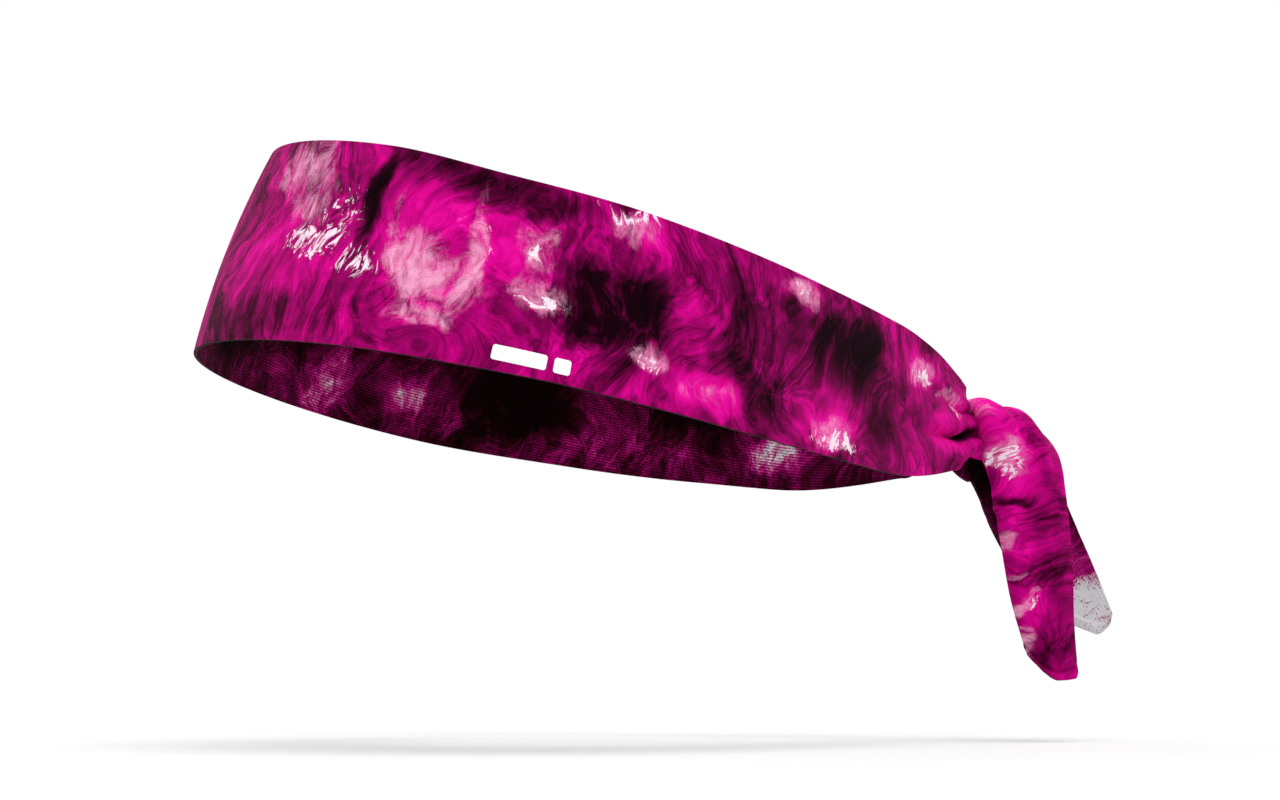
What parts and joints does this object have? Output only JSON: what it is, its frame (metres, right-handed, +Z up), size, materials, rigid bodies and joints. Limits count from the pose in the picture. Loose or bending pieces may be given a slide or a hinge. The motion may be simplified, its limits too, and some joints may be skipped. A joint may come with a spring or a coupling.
{
  "type": "tie headband",
  "caption": "Stretch-knit sports headband, wide over the forehead and tapering to a half knot at the back with two short hanging tails.",
  "frame": {"origin": "middle of the head opening, half way from forehead to knot, on the middle line of the strip before its tilt", "axes": "+Z up as worn, -X the forehead, +X the knot at the back of the head, -Y the wearer's left"},
  "size_m": [0.2537, 0.1752, 0.1366],
  "materials": {
    "printed_knit": "fine stretch knit with an all-over marbled dye print, matt outside, paler and ribbed inside",
    "print_ink": "thin flexible heat-transfer ink, matt white"
  },
  "bodies": {
    "band": {"forehead_panel": "printed_knit", "left_wing": "printed_knit", "right_wing": "printed_knit", "left_knot_strand": "printed_knit", "right_knot_strand": "printed_knit", "transfer_print": "print_ink"},
    "right_tail_root": {"right_tail_root": "printed_knit"},
    "right_tail_middle": {"right_tail_middle": "printed_knit"},
    "right_tail_tip": {"right_tail_tip": "printed_knit"},
    "left_tail_root": {"left_tail_root": "printed_knit"},
    "left_tail_middle": {"left_tail_middle": "printed_knit"},
    "left_tail_tip": {"left_tail_tip": "printed_knit"}
  },
  "joints": [
    {"name": "right_tail_swing", "type": "hinge", "parent": "band", "child": "right_tail_root", "pos_m": [0.1115, -0.0085, -0.027], "axis": [0, -1, 0], "range_deg": [-20, 50]},
    {"name": "right_tail_fold", "type": "hinge", "parent": "right_tail_root", "child": "right_tail_middle", "pos_m": [0.1134, -0.0085, -0.03885], "axis": [-0.9874, 0, -0.1582], "range_deg": [-3, 75]},
    {"name": "right_tail_tip_fold", "type": "hinge", "parent": "right_tail_middle", "child": "right_tail_tip", "pos_m": [0.11719, -0.0085, -0.06255], "axis": [-0.9874, 0, -0.1582], "range_deg": [-6, 60]},
    {"name": "left_tail_swing", "type": "hinge", "parent": "band", "child": "left_tail_root", "pos_m": [0.1145, 0.0085, -0.0275], "axis": [0, -1, 0], "range_deg": [-30, 40]},
    {"name": "left_tail_fold", "type": "hinge", "parent": "left_tail_root", "child": "left_tail_middle", "pos_m": [0.11938, 0.0085, -0.03846], "axis": [0.9135, 0, 0.4067], "range_deg": [-3, 75]},
    {"name": "left_tail_tip_fold", "type": "hinge", "parent": "left_tail_middle", "child": "left_tail_tip", "pos_m": [0.12629, 0.0085, -0.05399], "axis": [0.9135, 0, 0.4067], "range_deg": [-6, 60]}
  ]
}
